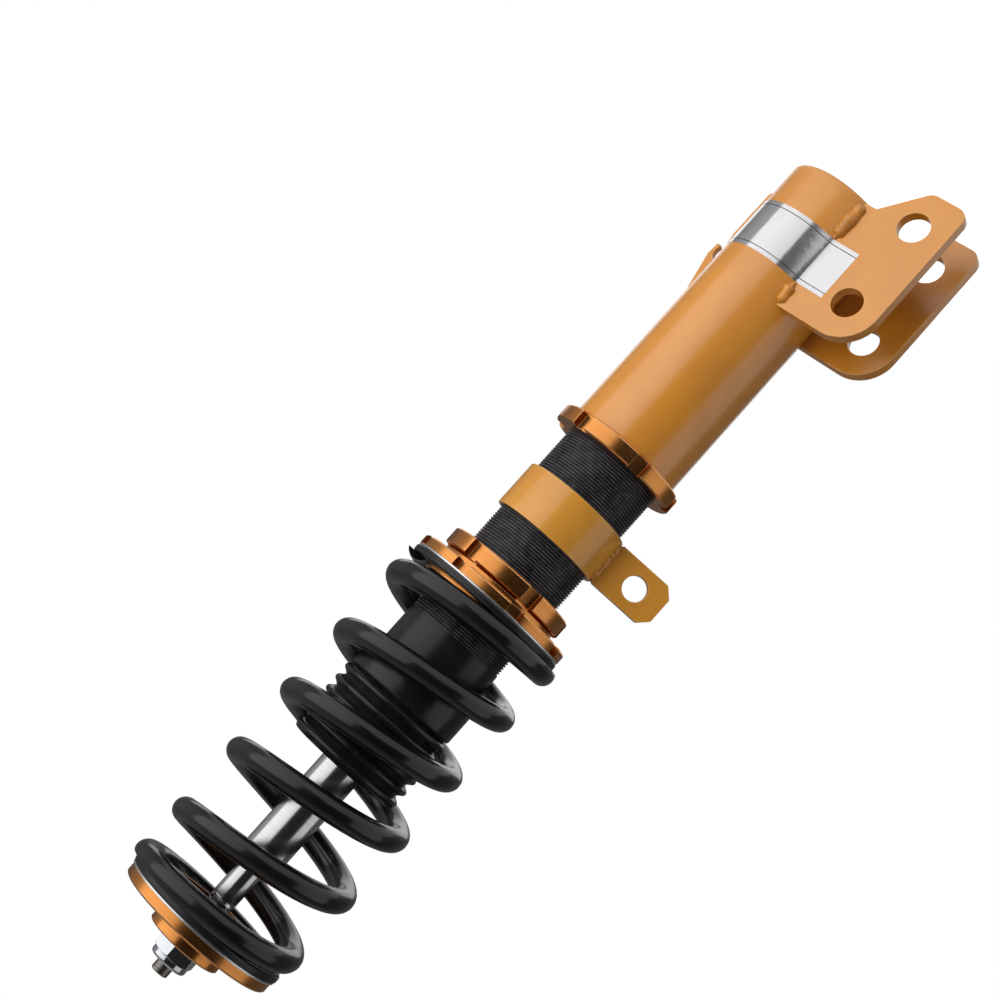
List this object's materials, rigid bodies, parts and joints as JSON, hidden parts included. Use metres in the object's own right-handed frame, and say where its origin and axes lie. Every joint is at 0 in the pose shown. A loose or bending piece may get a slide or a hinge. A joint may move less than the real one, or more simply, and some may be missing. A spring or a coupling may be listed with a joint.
{
  "type": "coilover strut",
  "caption": "Height-adjustable coilover strut with a clevis foot, threaded twin-tube damper, coil spring between slotted seats and a side tab for a link.",
  "frame": {"origin": "centre of the lower clevis bore, midway between the two ears", "axes": "+Z along the damper axis towards the top nut, +X out of the clevis mouth, +Y along the clevis bolts"},
  "size_m": [0.1166, 0.095, 0.5108],
  "materials": {
    "bracket_paint": "glossy golden orange powder coat with a light orange peel",
    "band_paint": "glossy ochre powder coat",
    "anodised_copper": "turned aluminium, anodised orange copper",
    "damper_black": "satin black coating on a fine thread",
    "spring_black": "gloss black powder coat",
    "rubber_black": "matt moulded rubber",
    "pad_black": "satin black isolator",
    "bright_washer": "bright rolled steel",
    "hard_chrome": "ground and polished hard chrome",
    "bright_zinc": "bright zinc plate",
    "tool_steel": "machined steel",
    "sintered_iron": "sintered grey iron",
    "seal_rubber": "brown black seal rubber",
    "white_nylon": "natural nylon",
    "bronze_liner": "bronze filled low friction liner"
  },
  "bodies": {
    "bracket": {"lower_tube": "bracket_paint", "tube_base_plug": "bracket_paint", "clevis_ear_left": "bracket_paint", "clevis_ear_right": "bracket_paint", "hose_bracket": "bracket_paint", "weld_beads": "bracket_paint"},
    "lower_ring": {"lower_lock_ring": "anodised_copper"},
    "damper": {"damper_body": "damper_black", "damper_end_cap": "tool_steel", "base_valve": "sintered_iron", "pressure_cylinder": "tool_steel", "rod_guide": "sintered_iron", "rod_bushing": "bronze_liner", "oil_seal": "seal_rubber", "gland_nut": "tool_steel", "bump_stop": "rubber_black", "dust_boot": "rubber_black"},
    "band": {"link_band": "band_paint", "band_bolt": "bright_zinc", "band_nut": "bright_zinc"},
    "spring_base": {"lower_slip_washer": "bright_washer", "lower_spring_pad": "pad_black", "main_spring": "spring_black"},
    "perch": {"spring_perch": "anodised_copper"},
    "spring_ring": {"spring_lock_ring": "anodised_copper"},
    "rod": {"piston_rod": "hard_chrome", "rebound_stop": "sintered_iron", "rebound_shims": "tool_steel", "piston": "sintered_iron", "piston_band": "bronze_liner", "compression_shims": "tool_steel", "piston_nut": "tool_steel", "upper_spring_pad": "pad_black", "upper_slip_washer": "bright_washer", "top_lock_nut": "bright_zinc", "nut_insert": "white_nylon"},
    "upper_seat": {"upper_spring_seat": "anodised_copper"},
    "adjuster": {"adjuster_spindle": "tool_steel"}
  },
  "joints": [
    {"name": "lower_ring_turn", "type": "hinge", "parent": "bracket", "child": "lower_ring", "pos_m": [-0.05, 0, 0.168], "axis": [0, 0, 1], "continuous": true},
    {"name": "ride_height_slide", "type": "slide", "parent": "bracket", "child": "damper", "axis": [0, 0, 1], "range_m": [-0.01, 0.015]},
    {"name": "band_slide", "type": "slide", "parent": "damper", "child": "band", "axis": [0, 0, 1], "range_m": [-0.012, 0.009]},
    {"name": "perch_slide", "type": "slide", "parent": "damper", "child": "spring_base", "axis": [0, 0, 1], "range_m": [-0.012, 0]},
    {"name": "perch_turn", "type": "hinge", "parent": "spring_base", "child": "perch", "pos_m": [-0.05, 0, 0.258], "axis": [0, 0, 1], "range_deg": [-2880, 0]},
    {"name": "spring_ring_turn", "type": "hinge", "parent": "spring_base", "child": "spring_ring", "pos_m": [-0.05, 0, 0.248], "axis": [0, 0, 1], "range_deg": [-2880, 0]},
    {"name": "rod_slide", "type": "slide", "parent": "spring_base", "child": "rod", "axis": [0, 0, -1], "range_m": [0, 0.07], "stiffness_N_per_m": 98000, "springref_m": -0.0015, "deforming": ["main_spring"]},
    {"name": "upper_seat_turn", "type": "hinge", "parent": "rod", "child": "upper_seat", "pos_m": [-0.05, 0, 0.467], "axis": [0, 0, 1], "continuous": true},
    {"name": "adjuster_turn", "type": "hinge", "parent": "rod", "child": "adjuster", "pos_m": [-0.05, 0, 0.489], "axis": [0, 0, 1], "range_deg": [-450, 450]}
  ],
  "couplings": [
    {"joint": "perch_turn", "follows": "perch_slide", "rad_per_m": 4188.8},
    {"joint": "spring_ring_turn", "follows": "perch_slide", "rad_per_m": 4188.8}
  ]
}
